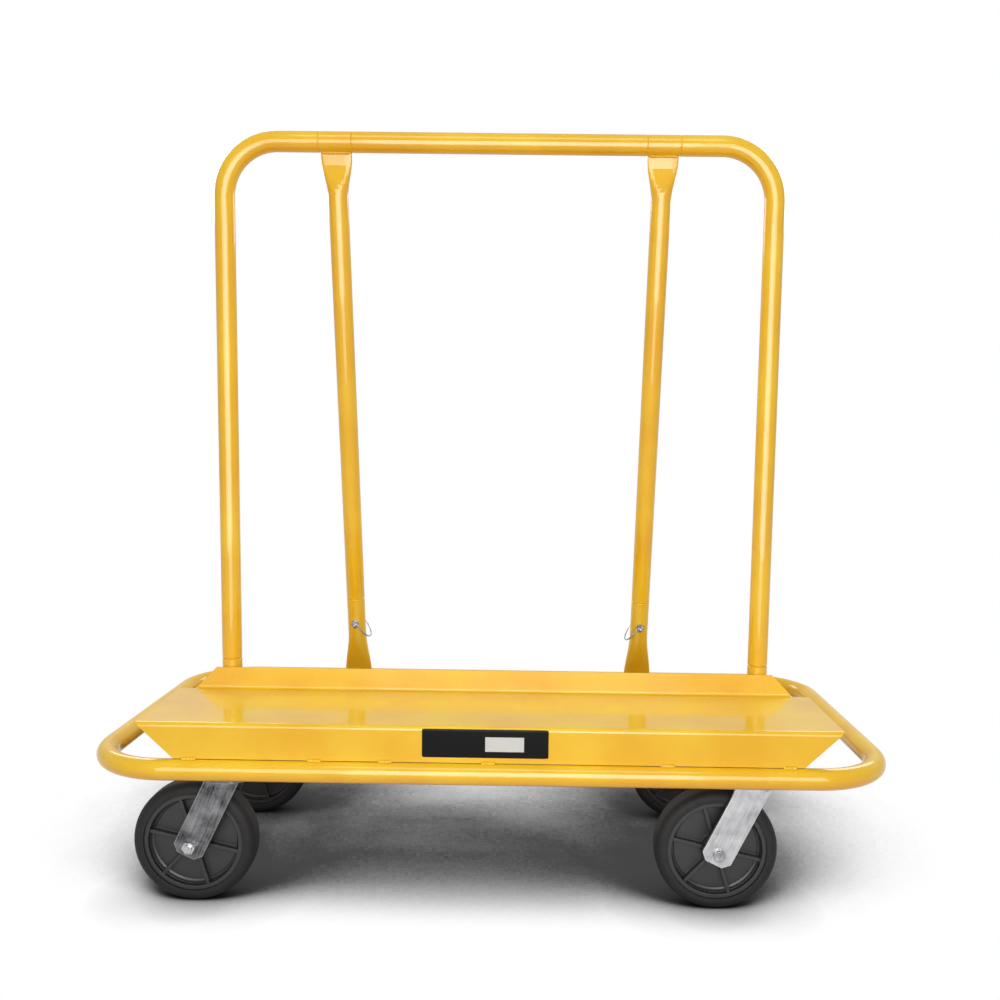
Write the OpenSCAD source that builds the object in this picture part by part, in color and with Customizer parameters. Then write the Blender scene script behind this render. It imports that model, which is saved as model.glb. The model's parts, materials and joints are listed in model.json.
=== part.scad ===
// Drywall cart: a bent tube base with a folded sheet deck, a knock-down handle frame
// held by two wire-lock pins, and four trailing swivel casters.
// Origin on the floor under the middle of the base, +X along the cart,
// +Y away from the loading side, +Z up. Lengths in millimetres, angles in degrees.

/* [Base frame] */
// Overall length of the tube loop
frame_l = 1300; // [1200:5:1500]
// Overall width of the tube loop
frame_w = 640; // [600:5:760]
// Outside diameter of the frame, handle and brace tube
tube_d = 34; // [31:0.5:37]
// Wall thickness of the tube
tube_wall = 2.5; // [2:0.1:3]
// Centreline radius of the loop's four corner bends
corner_r = 120; // [80:5:150]

/* [Cross members] */
// Sheet thickness of the two caster channels
channel_t = 4; // [3:0.5:5]
// Width of channel left showing beside each caster plate
channel_margin = 4; // [2:0.5:12]
// Plate thickness of the two ribs under the deck
rib_t = 4; // [3:0.5:4]

/* [Deck] */
// Length of the deck along the cart
deck_l = 1100; // [1040:5:1180]
// Depth of the deck from its front face to its rear flange
deck_depth = 211; // [190:1:230]
// Sheet thickness of the deck
deck_t = 3; // [2:0.5:4]
// Inside radius of the deck's two folds
deck_bend_r = 4; // [2:0.5:6]
// Height of the front flange, from the deck's top to its lower edge
front_flange_h = 57; // [45:1:70]
// How far each end of the front flange runs in towards its lower edge
front_flange_taper = 60; // [30:1:80]
// Rise of the rear flange above the deck's top
rear_flange_h = 37; // [25:1:50]
// How far each end of the rear flange runs in towards its upper edge
rear_flange_taper = 36; // [15:1:45]
// How far the rear flange's lower corners stand in from the deck's ends
rear_flange_inset = 28; // [10:1:40]

/* [Handle] */
// Overall height of the cart
handle_h = 1283; // [1150:1:1350]
// Centreline radius of the two handle bends
handle_bend_r = 90; // [70:5:110]
// Height of the leg joints above the rear flange
leg_joint_rise = 13; // [8:1:40]
// Length of the swaged leg ends inside their sockets
leg_spigot_l = 65; // [40:1:80]

/* [Braces] */
// Distance between the middles of the two braces
brace_spacing = 550; // [500:5:600]
// How far the feet of the braces stand behind the legs
brace_run = 219; // [180:1:250]
// Distance along a brace from the foot bar's axis to its joint
brace_joint = 212; // [200:1:240]
// Distance along a brace from the foot bar's axis to its lock pin
brace_pin = 163; // [150:1:170]
// Width of the flattened brace ends
flat_w = 52; // [45:1:54]
// Thickness of the flattened brace ends
flat_t = 6.5; // [5:0.5:8]
// Length of the tee sleeve on top of each brace
tee_l = 56; // [54:1:70]

/* [Lock pins] */
// Diameter of the lock pins
pin_d = 8; // [6:0.5:10]
// Diameter of the spring wire bails
wire_d = 2.6; // [2:0.1:3.2]
// Turn of the bails about the pins, down from level
bail_tilt = 55; // [40:1:56]

/* [Casters] */
// Distance between the swivel axes along the cart
caster_spacing_l = 868; // [820:2:900]
// Distance between the swivel axes across the cart
caster_spacing_w = 386; // [350:2:390]
// Distance the wheel trails behind its swivel axis
trail = 58; // [45:1:65]
// Size of the caster plate along the cart
plate_w = 102; // [96:1:110]
// Size of the caster plate across the cart
plate_l = 114; // [106:1:124]
// Thickness of the caster plate
plate_t = 6; // [5:0.5:8]
// Bolt spacing of the caster plate along the cart
bolt_spacing_w = 75; // [72:1:78]
// Bolt spacing of the caster plate across the cart
bolt_spacing_l = 90; // [84:1:92]
// Diameter of the caster bolts
bolt_d = 10; // [8:0.5:11]
// Width of the fork legs
fork_leg_w = 52; // [46:1:56]
// Plate thickness of the fork
fork_t = 6; // [4:0.5:7]
// Diameter of the balls in the swivel race
ball_d = 8; // [6:0.5:9]

/* [Wheels] */
// Diameter of the wheels over the tyre
wheel_d = 203; // [190:1:215]
// Width of the tyre
wheel_w = 50; // [44:1:54]
// Diameter of the wheel core under the tyre
rim_d = 164; // [156:1:170]
// Diameter of the axle bolts
axle_d = 12.7; // [11:0.1:14]
// Number of ribs on each face of the wheel core
rib_count = 6; // [4:1:8]

/* [Hidden] */
$fn = 48;
hex_sides = 6;
full_turn = 360;
overrun = 1;
paint = "#eda71d";
zinc = "#b9bcc0";
core_grey = "#3a3b3d";
rubber_black = "#232325";

// Clearances between pieces
weld_gap = 0.3;
spigot_gap = 0.15;
bolt_gap = 0.25;
thread_gap = 0.1;
running_gap = 0.05;
face_gap = 0.4;
ball_gap = 0.1;
seat_gap = 0.1;

// Tube and its joints
tube_r = tube_d / 2;
tube_bore = tube_d - 2 * tube_wall;
spigot_d = tube_bore - 2 * spigot_gap;
spigot_bore = spigot_d - 2 * tube_wall;
spigot_root_l = 20;
spigot_neck = 1.5;
spigot_bite = 0.4;
joint_chamfer = 1;
leg_chamfer = 2;

// Caster stack, from the floor up
wheel_r = wheel_d / 2;
crown_gap = 12;
race_h = 5.5;
race_gap = 2;
crown_under = wheel_d + crown_gap;
crown_top = crown_under + fork_t;
ball_z = crown_top + race_h + race_gap / 2;
plate_under = ball_z + race_gap / 2 + race_h;
caster_h = plate_under + plate_t;
caster_x = caster_spacing_l / 2;
caster_y = caster_spacing_w / 2;

// Base frame
frame_z = caster_h + tube_r;
rail_x = (frame_l - tube_d) / 2;
rail_y = (frame_w - tube_d) / 2;
channel_w = plate_w + 2 * channel_margin;
channel_h = tube_d;
channel_bend_r = 3;
channel_setback = 8;
channel_top = caster_h + channel_h;

// Deck
deck_slot = 1;
deck_z = frame_z + tube_r + deck_slot + front_flange_h;
deck_front = -rail_y - deck_t / 2;
deck_rear = deck_front + deck_depth;
deck_fold = deck_bend_r + deck_t;
rib_setback = 12;
rib_front = -rail_y + tube_r + rib_setback;
rib_back = deck_rear - rib_setback;
rib_slope = 25;

// Handle
leg_side_gap = 4;
leg_x = caster_x + channel_w / 2 - channel_t - leg_side_gap - tube_r;
leg_y = deck_rear + deck_t + weld_gap + tube_r;
leg_joint_z = deck_z + rear_flange_h + leg_joint_rise;
bar_z = handle_h - tube_r;
brace_x = brace_spacing / 2;
tee_spigot_l = tee_l / 2 - joint_chamfer;

// Braces, measured along their own axis from the axis of the foot bar
brace_rise = bar_z - frame_z;
brace_len = sqrt(pow(brace_run, 2) + pow(brace_rise, 2));
brace_lean = atan2(brace_run, brace_rise);
brace_foot_y = leg_y + brace_run;
spigot_past_pin = 17;
brace_spigot_l = brace_joint - brace_pin + spigot_past_pin;
foot_floor = 5;
foot_flat_l = 28;
foot_round_end = brace_joint - brace_spigot_l - foot_floor;
foot_end = tube_r + weld_gap;
head_flat_l = 8;
head_flare_l = 64;
head_bite = 1.2;
head_end = brace_len - tube_r + head_bite;
head_round_end = head_end - head_flat_l - head_flare_l;
flare_inset = 0.05;
flare_sides = 32;
flare_steps = 10;
flare_square_share = 0.6;

// Lock pins: the pin lies along Y and the bail lies in the XY plane of the pin's own frame
bail_gap = 2;
pin_fit = 0.06;
pin_collar_d = 15;
pin_collar_t = 3;
pin_tab_t = 5;
pin_tab_w = 12;
pin_out = 4.5;
pin_point = 3;
pin_point_d = 5;
wire_r = wire_d / 2;
bail_w = pin_tab_t / 2 + face_gap + wire_r;
bail_y = tube_r + pin_out + bail_gap + wire_r;
bail_slack = 9;
bail_reach = tube_r / cos(bail_tilt) + wire_r + bail_slack;
bail_straight = bail_reach - bail_y;
bail_hook = 1.5;
bail_catch = 1.5;

// Casters
hub_out = 6;
hub_l = wheel_w + 2 * hub_out;
hub_gap = 1;
fork_inside = hub_l / 2 + hub_gap;
fork_outside = fork_inside + fork_t;
fork_rake = atan2(trail, crown_top - wheel_r);
fork_reach = sqrt(pow(trail, 2) + pow(crown_top - wheel_r, 2));
fork_end = 18;
fork_clip = 11;
crown_r = 44;
crown_lip = 4;
crown_lip_h = 5;
race_r = 32;
race_w = 16;
ball_count = 20;
kingpin_d = 12.7;
kingpin_head_d = 22;
kingpin_head_h = 5.5;
kingpin_sink = 4;
bolt_head_h = 6.5;
bolt_head_share = 1.7;
nut_h = 8;
axle_nut_h = 10;
axle_head_h = 8;
axle_head_share = 1.5;
axle_tail = 4;
sleeve_d = 19;
hex_corner_share = 1 / cos(180 / hex_sides);

// Wheels
hub_d = 50;
rim_t = 7;
rim_inset = 3;
rim_w = wheel_w - 2 * rim_inset;
web_t = 14;
spoke_t = 6;
spoke_inset = 4;
spoke_w = rim_w - 2 * spoke_inset;
spoke_turn = 13;
shoulder_r = 15;

SIDES = ["left", "right"];
CORNERS = ["front_left", "front_right", "rear_left", "rear_right"];
BASE_PIECES = ["channel", "deck_rib", "leg_socket", "brace_foot", "leg", "brace", "lock_pin", "pin_bail"];
CASTER_PIECES = ["plate", "kingpin", "race_balls", "fork", "axle_bolt", "axle_nut", "axle_sleeve",
    "wheel_core", "tyre"];
NODES = concat(["frame_loop", "brace_bar", "deck", "top_bar", "caster_bolts", "caster_nuts"],
    [for (piece = BASE_PIECES, side = SIDES) str(piece, "_", side)],
    [for (corner = CORNERS, piece = CASTER_PIECES) str(corner, "_", piece)]);
node = "all";

function wanted(name) = node == "all" || node == name;
function side_of(name) = name == "left" ? -1 : 1;
function corner_x(i) = i % 2 == 0 ? -caster_x : caster_x;
function corner_y(i) = i < 2 ? -caster_y : caster_y;

// Tubes

// Straight tube from the origin up
module tube(l) {
    difference() {
        cylinder(h = l, d = tube_d);
        translate([0, 0, -overrun]) cylinder(h = l + 2 * overrun, d = tube_bore);
    }
}

// Quarter bend of tube in the XY plane, about the origin
module tube_bend(r) {
    rotate_extrude(angle = 90) translate([r, 0]) difference() {
        circle(d = tube_d);
        circle(d = tube_bore);
    }
}

// Ring that chamfers the rim of a tube standing on the origin
module rim_cut(chamfer = joint_chamfer) {
    rotate_extrude() polygon([
        [tube_r - chamfer - overrun, -overrun],
        [tube_r + overrun, -overrun],
        [tube_r + overrun, chamfer + overrun]]);
}

// Swaged end below the origin, with its root held inside the tube above
module spigot(l) {
    root_r = tube_bore / 2 + spigot_bite;
    rotate_extrude() polygon([
        [spigot_bore / 2, -l],
        [spigot_d / 2, -l],
        [spigot_d / 2, spigot_neck],
        [root_r, spigot_neck],
        [root_r, spigot_root_l],
        [spigot_bore / 2, spigot_root_l]]);
}

// Tube along +X whose two ends are chamfered
module sleeve_tube(l) {
    rotate([0, 90, 0]) difference() {
        tube(l);
        rim_cut();
        translate([0, 0, l]) mirror([0, 0, 1]) rim_cut();
    }
}

// Tube pressed flat: rings of points go from a circle at z0 to a flat bar from z1 to z2.
// A share of 0 is the round tube and 1 the flat, and the rings grow squarer as they flatten.
function flare_share(t) = t * t * (3 - 2 * t);
function signed_power(v, e) = sign(v) * pow(abs(v), e);
function flare_ring(share, z) =
    let (e = 1 - flare_square_share * share,
         half_w = (tube_r - flare_inset) * (1 - share) + flat_w / 2 * share,
         half_t = (tube_r - flare_inset) * (1 - share) + flat_t / 2 * share)
    [for (k = [0 : flare_sides - 1])
        let (a = full_turn * (k + 0.5) / flare_sides)
        [half_w * signed_power(cos(a), e), half_t * signed_power(sin(a), e), z]];

module flattened_end(z0, z1, z2) {
    step = (z1 - z0) / flare_steps;
    rings = concat([flare_ring(0, z0 - step / 2)],
        [for (i = [0 : flare_steps]) flare_ring(flare_share(i / flare_steps), z0 + step * i)],
        [flare_ring(1, z2)]);
    n = flare_sides;
    last = len(rings) - 1;
    faces = concat(
        [[for (k = [0 : n - 1]) k]],
        [for (i = [0 : last - 1], k = [0 : n - 1])
            let (j = (k + 1) % n)
            each [[i * n + k, (i + 1) * n + k, i * n + j], [i * n + j, (i + 1) * n + k, (i + 1) * n + j]]],
        [[for (k = [0 : n - 1]) last * n + n - 1 - k]]);
    polyhedron(points = [for (ring = rings) each ring], faces = faces);
}

// Base frame

module frame_loop() {
    run_x = rail_x - corner_r;
    run_y = rail_y - corner_r;
    color(paint) translate([0, 0, frame_z]) {
        for (y = [-rail_y, rail_y]) translate([-run_x, y, 0]) rotate([0, 90, 0]) tube(2 * run_x);
        for (x = [-rail_x, rail_x]) translate([x, -run_y, 0]) rotate([-90, 0, 0]) tube(2 * run_y);
        translate([run_x, run_y, 0]) tube_bend(corner_r);
        translate([-run_x, run_y, 0]) rotate([0, 0, 90]) tube_bend(corner_r);
        translate([-run_x, -run_y, 0]) rotate([0, 0, 180]) tube_bend(corner_r);
        translate([run_x, -run_y, 0]) rotate([0, 0, 270]) tube_bend(corner_r);
    }
}

// Upright-sided outline with its two lower corners rounded
module round_bottomed(w, h, r) {
    translate([-w / 2, r]) square([w, h - r]);
    translate([-w / 2 + r, 0]) square([w - 2 * r, h]);
    for (x = [-w / 2 + r, w / 2 - r]) translate([x, r]) circle(r = r);
}

// The four bolt places of one caster
module at_caster_bolts() {
    for (x = [-bolt_spacing_w / 2, bolt_spacing_w / 2], y = [-bolt_spacing_l / 2, bolt_spacing_l / 2])
        translate([x, y, 0]) children();
}

// Upward-open channel between the rails, saddled to them and drilled for two casters
module channel(side) {
    half_run = rail_y - channel_setback;
    color(paint) translate([side * caster_x, 0, 0]) difference() {
        translate([0, half_run, caster_h]) rotate([90, 0, 0]) linear_extrude(2 * half_run) difference() {
            round_bottomed(channel_w, channel_h, channel_bend_r + channel_t);
            translate([0, channel_t])
                round_bottomed(channel_w - 2 * channel_t, channel_h, channel_bend_r);
        }
        for (y = [-rail_y, rail_y]) translate([-channel_w, y, frame_z]) rotate([0, 90, 0])
            cylinder(h = 2 * channel_w, r = tube_r + weld_gap);
        for (y = [-caster_y, caster_y]) translate([0, y, caster_h - overrun]) at_caster_bolts()
            cylinder(h = channel_t + 2 * overrun, d = bolt_d + 2 * bolt_gap);
    }
}

// Tube between the channels that carries the feet of the braces
module brace_bar() {
    half_run = caster_x - channel_w / 2;
    color(paint) translate([-half_run, brace_foot_y, frame_z]) rotate([0, 90, 0]) tube(2 * half_run);
}

// Deck

// Quarter of a ring: the part of it where X and Y are positive
module quarter_ring(inner, outer) {
    intersection() {
        difference() {
            circle(r = outer);
            circle(r = inner);
        }
        square([outer + overrun, outer + overrun]);
    }
}

// Section of the folded sheet across the cart: front flange down, rear flange up
module deck_section() {
    translate([deck_front, deck_z - front_flange_h]) square([deck_t, front_flange_h - deck_fold]);
    translate([deck_front + deck_fold, deck_z - deck_fold]) mirror([1, 0])
        quarter_ring(deck_bend_r, deck_fold);
    translate([deck_front + deck_fold, deck_z - deck_t])
        square([deck_depth - deck_fold - deck_bend_r, deck_t]);
    translate([deck_rear - deck_bend_r, deck_z + deck_bend_r]) mirror([0, 1])
        quarter_ring(deck_bend_r, deck_fold);
    translate([deck_rear, deck_z + deck_bend_r]) square([deck_t, rear_flange_h - deck_bend_r]);
}

// Wedges that trim one end of the front flange and of the rear flange
module deck_end_cut() {
    half_l = deck_l / 2;
    front_run = front_flange_taper * (front_flange_h + overrun) / front_flange_h;
    rear_run = rear_flange_taper * (rear_flange_h + overrun) / rear_flange_h;
    rear_x = half_l - rear_flange_inset;
    translate([0, deck_front + deck_fold, 0]) rotate([90, 0, 0]) linear_extrude(deck_fold + overrun)
        polygon([
            [half_l, deck_z],
            [half_l - front_run, deck_z - front_flange_h - overrun],
            [half_l + overrun, deck_z - front_flange_h - overrun],
            [half_l + overrun, deck_z]]);
    translate([0, deck_rear + deck_t + overrun, 0]) rotate([90, 0, 0])
        linear_extrude(deck_fold + overrun) polygon([
            [rear_x, deck_z - deck_t - overrun],
            [half_l + overrun, deck_z - deck_t - overrun],
            [half_l + overrun, deck_z + rear_flange_h + overrun],
            [rear_x - rear_run, deck_z + rear_flange_h + overrun],
            [rear_x, deck_z]]);
}

module deck() {
    color(paint) difference() {
        translate([-deck_l / 2, 0, 0]) rotate([90, 0, 90]) linear_extrude(deck_l) deck_section();
        deck_end_cut();
        mirror([1, 0, 0]) deck_end_cut();
    }
}

// Plate on the channel's inner wall that carries the deck
module deck_rib(side) {
    x = caster_x - channel_w / 2;
    top = deck_z - deck_t;
    color(paint) translate([side > 0 ? x : -x - rib_t, 0, 0]) rotate([90, 0, 90]) linear_extrude(rib_t)
        polygon([
            [rib_front, channel_top],
            [rib_back, channel_top],
            [rib_back, top],
            [rib_front + rib_slope, top],
            [rib_front, top - rib_slope]]);
}

// Handle

module leg_socket(side) {
    l = leg_joint_z - caster_h - channel_t;
    color(paint) translate([side * leg_x, leg_y, leg_joint_z]) mirror([0, 0, 1]) difference() {
        tube(l);
        rim_cut(leg_chamfer);
    }
}

// One side of the handle: upright leg, bend and short top run, with a swaged end at each joint
module leg(side) {
    straight_l = bar_z - handle_bend_r - leg_joint_z;
    top_run = leg_x - handle_bend_r - brace_x - tee_l / 2;
    color(paint) mirror([side < 0 ? 1 : 0, 0, 0]) translate([leg_x, leg_y, leg_joint_z]) {
        difference() {
            tube(straight_l);
            rim_cut(leg_chamfer);
        }
        spigot(leg_spigot_l);
        translate([-handle_bend_r, 0, straight_l]) {
            rotate([90, 0, 0]) tube_bend(handle_bend_r);
            translate([-top_run, 0, handle_bend_r]) rotate([0, 90, 0]) {
                difference() {
                    tube(top_run);
                    rim_cut();
                }
                spigot(tee_spigot_l);
            }
        }
    }
}

// Middle of the handle, between the two tees
module top_bar() {
    l = brace_spacing - tee_l;
    color(paint) translate([0, leg_y, bar_z]) {
        translate([-l / 2, 0, 0]) sleeve_tube(l);
        for (turn = [0, 180]) rotate([0, 0, turn]) translate([-l / 2, 0, 0]) rotate([0, 90, 0])
            spigot(tee_spigot_l);
    }
}

// Braces

// Frame of one brace: origin on the foot bar's axis, +Z up along the brace,
// with the right-hand brace mirrored from the left
module at_brace(side) {
    mirror([side > 0 ? 1 : 0, 0, 0]) translate([-brace_x, brace_foot_y, frame_z])
        rotate([brace_lean, 0, 0]) children();
}

module pin_hole() {
    translate([0, tube_r + overrun, brace_pin]) rotate([90, 0, 0])
        cylinder(h = tube_d + 2 * overrun, d = pin_d + 2 * pin_fit);
}

// Lower stub of a brace, flattened where it is welded to the foot bar
module brace_foot(side) {
    l = brace_joint - foot_round_end;
    color(paint) at_brace(side) difference() {
        union() {
            translate([0, 0, foot_round_end]) cylinder(h = l, d = tube_d);
            mirror([0, 0, 1]) flattened_end(-foot_round_end, -foot_end - foot_flat_l, -foot_end);
        }
        translate([0, 0, foot_round_end + foot_floor - face_gap]) cylinder(h = l, d = tube_bore);
        translate([0, 0, brace_joint]) mirror([0, 0, 1]) rim_cut();
        pin_hole();
    }
}

// Upper brace with its swaged lower end, flattened head and tee sleeve
module brace(side) {
    l = head_round_end - brace_joint;
    color(paint) at_brace(side) {
        translate([0, 0, brace_joint]) difference() {
            cylinder(h = l, d = tube_d);
            translate([0, 0, -overrun]) cylinder(h = l + overrun - foot_floor, d = tube_bore);
            rim_cut();
        }
        difference() {
            translate([0, 0, brace_joint]) spigot(brace_spigot_l);
            pin_hole();
        }
        flattened_end(head_round_end, head_end - head_flat_l, head_end);
        translate([-tee_l / 2, 0, brace_len]) sleeve_tube(tee_l);
    }
}

// Lock pins

// Frame of one lock pin: +Y along the pin towards its point, +X the way the bail reaches
module at_pin(side) {
    at_brace(side) translate([0, 0, brace_pin]) rotate([0, bail_tilt, 0]) children();
}

// Turned pin: pointed shank, collar against the tube, and a drilled tab for the bail
module lock_pin(side) {
    collar_y = -tube_r - face_gap;
    color(zinc) at_pin(side) difference() {
        union() {
            rotate([-90, 0, 0]) rotate_extrude() polygon([
                [0, collar_y - pin_collar_t],
                [pin_collar_d / 2, collar_y - pin_collar_t],
                [pin_collar_d / 2, collar_y],
                [pin_d / 2, collar_y],
                [pin_d / 2, tube_r + pin_out - pin_point],
                [pin_point_d / 2, tube_r + pin_out],
                [0, tube_r + pin_out]]);
            translate([0, 0, -pin_tab_t / 2]) linear_extrude(pin_tab_t) {
                translate([0, -bail_y]) circle(d = pin_tab_w);
                translate([-pin_tab_w / 2, -bail_y])
                    square([pin_tab_w, bail_y + collar_y - pin_collar_t / 2]);
            }
        }
        translate([0, -bail_y, -pin_tab_t]) cylinder(h = 2 * pin_tab_t, d = wire_d + 2 * running_gap);
    }
}

// Spring wire loop: through the tab, round the inner side of the tube and across the pin's point
module pin_bail(side) {
    color(zinc) at_pin(side) {
        translate([0, -bail_y, -bail_w]) cylinder(h = 2 * bail_w, d = wire_d);
        translate([0, -bail_y, bail_w]) sphere(d = wire_d);
        translate([0, -bail_y, bail_w]) rotate([0, 90, 0]) cylinder(h = bail_straight, d = wire_d);
        translate([bail_straight, 0, bail_w]) rotate([0, 0, -90]) rotate_extrude(angle = 180)
            translate([bail_y, 0]) circle(d = wire_d);
        translate([-bail_hook, bail_y, bail_w]) rotate([0, 90, 0])
            cylinder(h = bail_straight + bail_hook, d = wire_d);
        translate([-bail_hook, bail_y, bail_w]) sphere(d = wire_d);
        translate([-bail_hook, bail_y, -bail_catch]) cylinder(h = bail_w + bail_catch, d = wire_d);
    }
}

// Caster fixings

module hex_prism(across, h) {
    cylinder(h = h, d = across * hex_corner_share, $fn = hex_sides);
}

module at_every_caster() {
    for (i = [0 : len(CORNERS) - 1]) translate([corner_x(i), corner_y(i), 0]) children();
}

module caster_bolts() {
    color(zinc) at_every_caster() at_caster_bolts() {
        translate([0, 0, plate_under - bolt_head_h]) hex_prism(bolt_d * bolt_head_share, bolt_head_h);
        translate([0, 0, plate_under]) cylinder(h = plate_t + channel_t + nut_h, d = bolt_d);
    }
}

module caster_nuts() {
    color(zinc) at_every_caster() at_caster_bolts() translate([0, 0, caster_h + channel_t]) difference() {
        hex_prism(bolt_d * bolt_head_share, nut_h);
        translate([0, 0, -overrun]) cylinder(h = nut_h + 2 * overrun, d = bolt_d + 2 * thread_gap);
    }
}

// Casters, each about its own swivel axis with the floor at zero

module at_corner(i) {
    translate([corner_x(i), corner_y(i), 0]) children();
}

module at_axle(i) {
    at_corner(i) translate([-trail, 0, wheel_r]) rotate([-90, 0, 0]) children();
}

// Ring of race metal with a groove for the balls
module race_ring(z) {
    difference() {
        translate([0, 0, z]) difference() {
            cylinder(h = race_h, r = race_r + race_w / 2);
            translate([0, 0, -overrun]) cylinder(h = race_h + 2 * overrun, r = race_r - race_w / 2);
        }
        rotate_extrude() translate([race_r, ball_z]) circle(r = ball_d / 2 + ball_gap);
    }
}

// Top plate with its bolt holes, sunk kingpin seat and upper race
module plate(i) {
    color(zinc) at_corner(i) {
        difference() {
            translate([-plate_w / 2, -plate_l / 2, plate_under]) cube([plate_w, plate_l, plate_t]);
            translate([0, 0, plate_under - overrun]) {
                at_caster_bolts() cylinder(h = plate_t + 2 * overrun, d = bolt_d + 2 * bolt_gap);
                cylinder(h = plate_t + 2 * overrun, d = kingpin_d + 2 * seat_gap);
            }
            rotate_extrude() polygon([
                [0, caster_h - kingpin_sink],
                [kingpin_d / 2 + seat_gap, caster_h - kingpin_sink],
                [kingpin_head_d / 2 + seat_gap, caster_h],
                [kingpin_head_d / 2 + seat_gap, caster_h + overrun],
                [0, caster_h + overrun]]);
        }
        race_ring(plate_under - race_h);
    }
}

// Riveted kingpin: sunk head in the plate, round head under the fork crown
module kingpin(i) {
    head_top = crown_under - face_gap;
    color(zinc) at_corner(i) rotate_extrude() polygon([
        [0, head_top - kingpin_head_h],
        [kingpin_head_d / 2 - joint_chamfer, head_top - kingpin_head_h],
        [kingpin_head_d / 2, head_top - kingpin_head_h + joint_chamfer],
        [kingpin_head_d / 2, head_top],
        [kingpin_d / 2, head_top],
        [kingpin_d / 2, caster_h - kingpin_sink],
        [kingpin_head_d / 2, caster_h],
        [0, caster_h]]);
}

module race_balls(i) {
    color(zinc) at_corner(i) for (k = [0 : ball_count - 1]) rotate([0, 0, k * full_turn / ball_count])
        translate([race_r, 0, ball_z]) sphere(d = ball_d);
}

// Side view of a fork leg, along X and Z about the crown's top: a raked strip with clipped lower corners
module fork_leg_outline() {
    half = fork_leg_w / 2;
    end = fork_reach + fork_end;
    rotate(-fork_rake) polygon([
        [-half, half],
        [-half, -end + fork_clip],
        [-half + fork_clip, -end],
        [half - fork_clip, -end],
        [half, -end + fork_clip],
        [half, half]]);
}

// Pressed fork: dished crown with the lower race, and two raked legs drilled for the axle
module fork(i) {
    color(zinc) at_corner(i) {
        difference() {
            union() {
                translate([0, 0, crown_under]) cylinder(h = fork_t, r = crown_r);
                translate([0, 0, crown_under - crown_lip_h]) difference() {
                    cylinder(h = crown_lip_h, r = crown_r);
                    translate([0, 0, -overrun])
                        cylinder(h = crown_lip_h + 2 * overrun, r = crown_r - crown_lip);
                }
                intersection() {
                    for (y = [-fork_inside, fork_outside]) translate([0, y, crown_top])
                        rotate([90, 0, 0]) linear_extrude(fork_t) fork_leg_outline();
                    translate([-trail - wheel_r, -fork_outside - overrun, 0])
                        cube([trail + 2 * wheel_r, 2 * fork_outside + 2 * overrun, crown_top]);
                }
            }
            translate([0, 0, crown_under - overrun])
                cylinder(h = fork_t + 2 * overrun, d = kingpin_d + 2 * running_gap);
            translate([-trail, fork_outside + overrun, wheel_r]) rotate([90, 0, 0])
                cylinder(h = 2 * fork_outside + 2 * overrun, d = axle_d + 2 * bolt_gap);
        }
        race_ring(crown_top);
    }
}

// The axle bolts of the left-hand casters show their nuts to the front, the others their heads
module at_axle_bolt(i) {
    at_axle(i) mirror([0, 0, i % 2 == 0 ? 1 : 0]) children();
}

module axle_bolt(i) {
    color(zinc) at_axle_bolt(i) {
        translate([0, 0, -fork_outside - axle_head_h]) rotate_extrude() polygon([
            [0, 0],
            [axle_d * axle_head_share / 2 - joint_chamfer, 0],
            [axle_d * axle_head_share / 2, joint_chamfer],
            [axle_d * axle_head_share / 2, axle_head_h],
            [0, axle_head_h]]);
        translate([0, 0, -fork_outside])
            cylinder(h = 2 * fork_outside + axle_nut_h + axle_tail, d = axle_d);
    }
}

module axle_nut(i) {
    color(zinc) at_axle_bolt(i) translate([0, 0, fork_outside]) difference() {
        hex_prism(axle_d * axle_head_share, axle_nut_h);
        translate([0, 0, -overrun]) cylinder(h = axle_nut_h + 2 * overrun, d = axle_d + 2 * thread_gap);
    }
}

// Steel sleeve clamped between the fork legs, on which the wheel turns
module axle_sleeve(i) {
    l = 2 * fork_inside;
    color(zinc) at_axle(i) translate([0, 0, -l / 2]) difference() {
        cylinder(h = l, d = sleeve_d);
        translate([0, 0, -overrun]) cylinder(h = l + 2 * overrun, d = axle_d + 2 * thread_gap);
    }
}

// Moulded wheel core: hub, web and rim with radial ribs on both faces
module wheel_core(i) {
    color(core_grey) at_axle(i) difference() {
        union() {
            translate([0, 0, -hub_l / 2]) cylinder(h = hub_l, d = hub_d);
            translate([0, 0, -web_t / 2]) cylinder(h = web_t, d = rim_d - rim_t);
            translate([0, 0, -rim_w / 2]) difference() {
                cylinder(h = rim_w, d = rim_d);
                translate([0, 0, -overrun]) cylinder(h = rim_w + 2 * overrun, d = rim_d - 2 * rim_t);
            }
            for (k = [0 : rib_count - 1]) rotate([0, 0, spoke_turn + k * full_turn / rib_count])
                translate([0, -spoke_t / 2, -spoke_w / 2])
                    cube([rim_d / 2 - rim_t / 2, spoke_t, spoke_w]);
        }
        translate([0, 0, -hub_l]) cylinder(h = 2 * hub_l, d = sleeve_d + 2 * running_gap);
    }
}

// Solid rubber tyre with rounded shoulders
module tyre(i) {
    inner = rim_d / 2 + seat_gap;
    side_y = wheel_w / 2 - shoulder_r;
    color(rubber_black) at_axle(i) rotate_extrude() intersection() {
        translate([inner, -wheel_w / 2]) square([wheel_r - inner, wheel_w]);
        union() {
            translate([0, -wheel_w / 2]) square([wheel_r - shoulder_r, wheel_w]);
            translate([0, -side_y]) square([wheel_r, 2 * side_y]);
            for (y = [-side_y, side_y]) translate([wheel_r - shoulder_r, y]) circle(r = shoulder_r);
        }
    }
}

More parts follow.
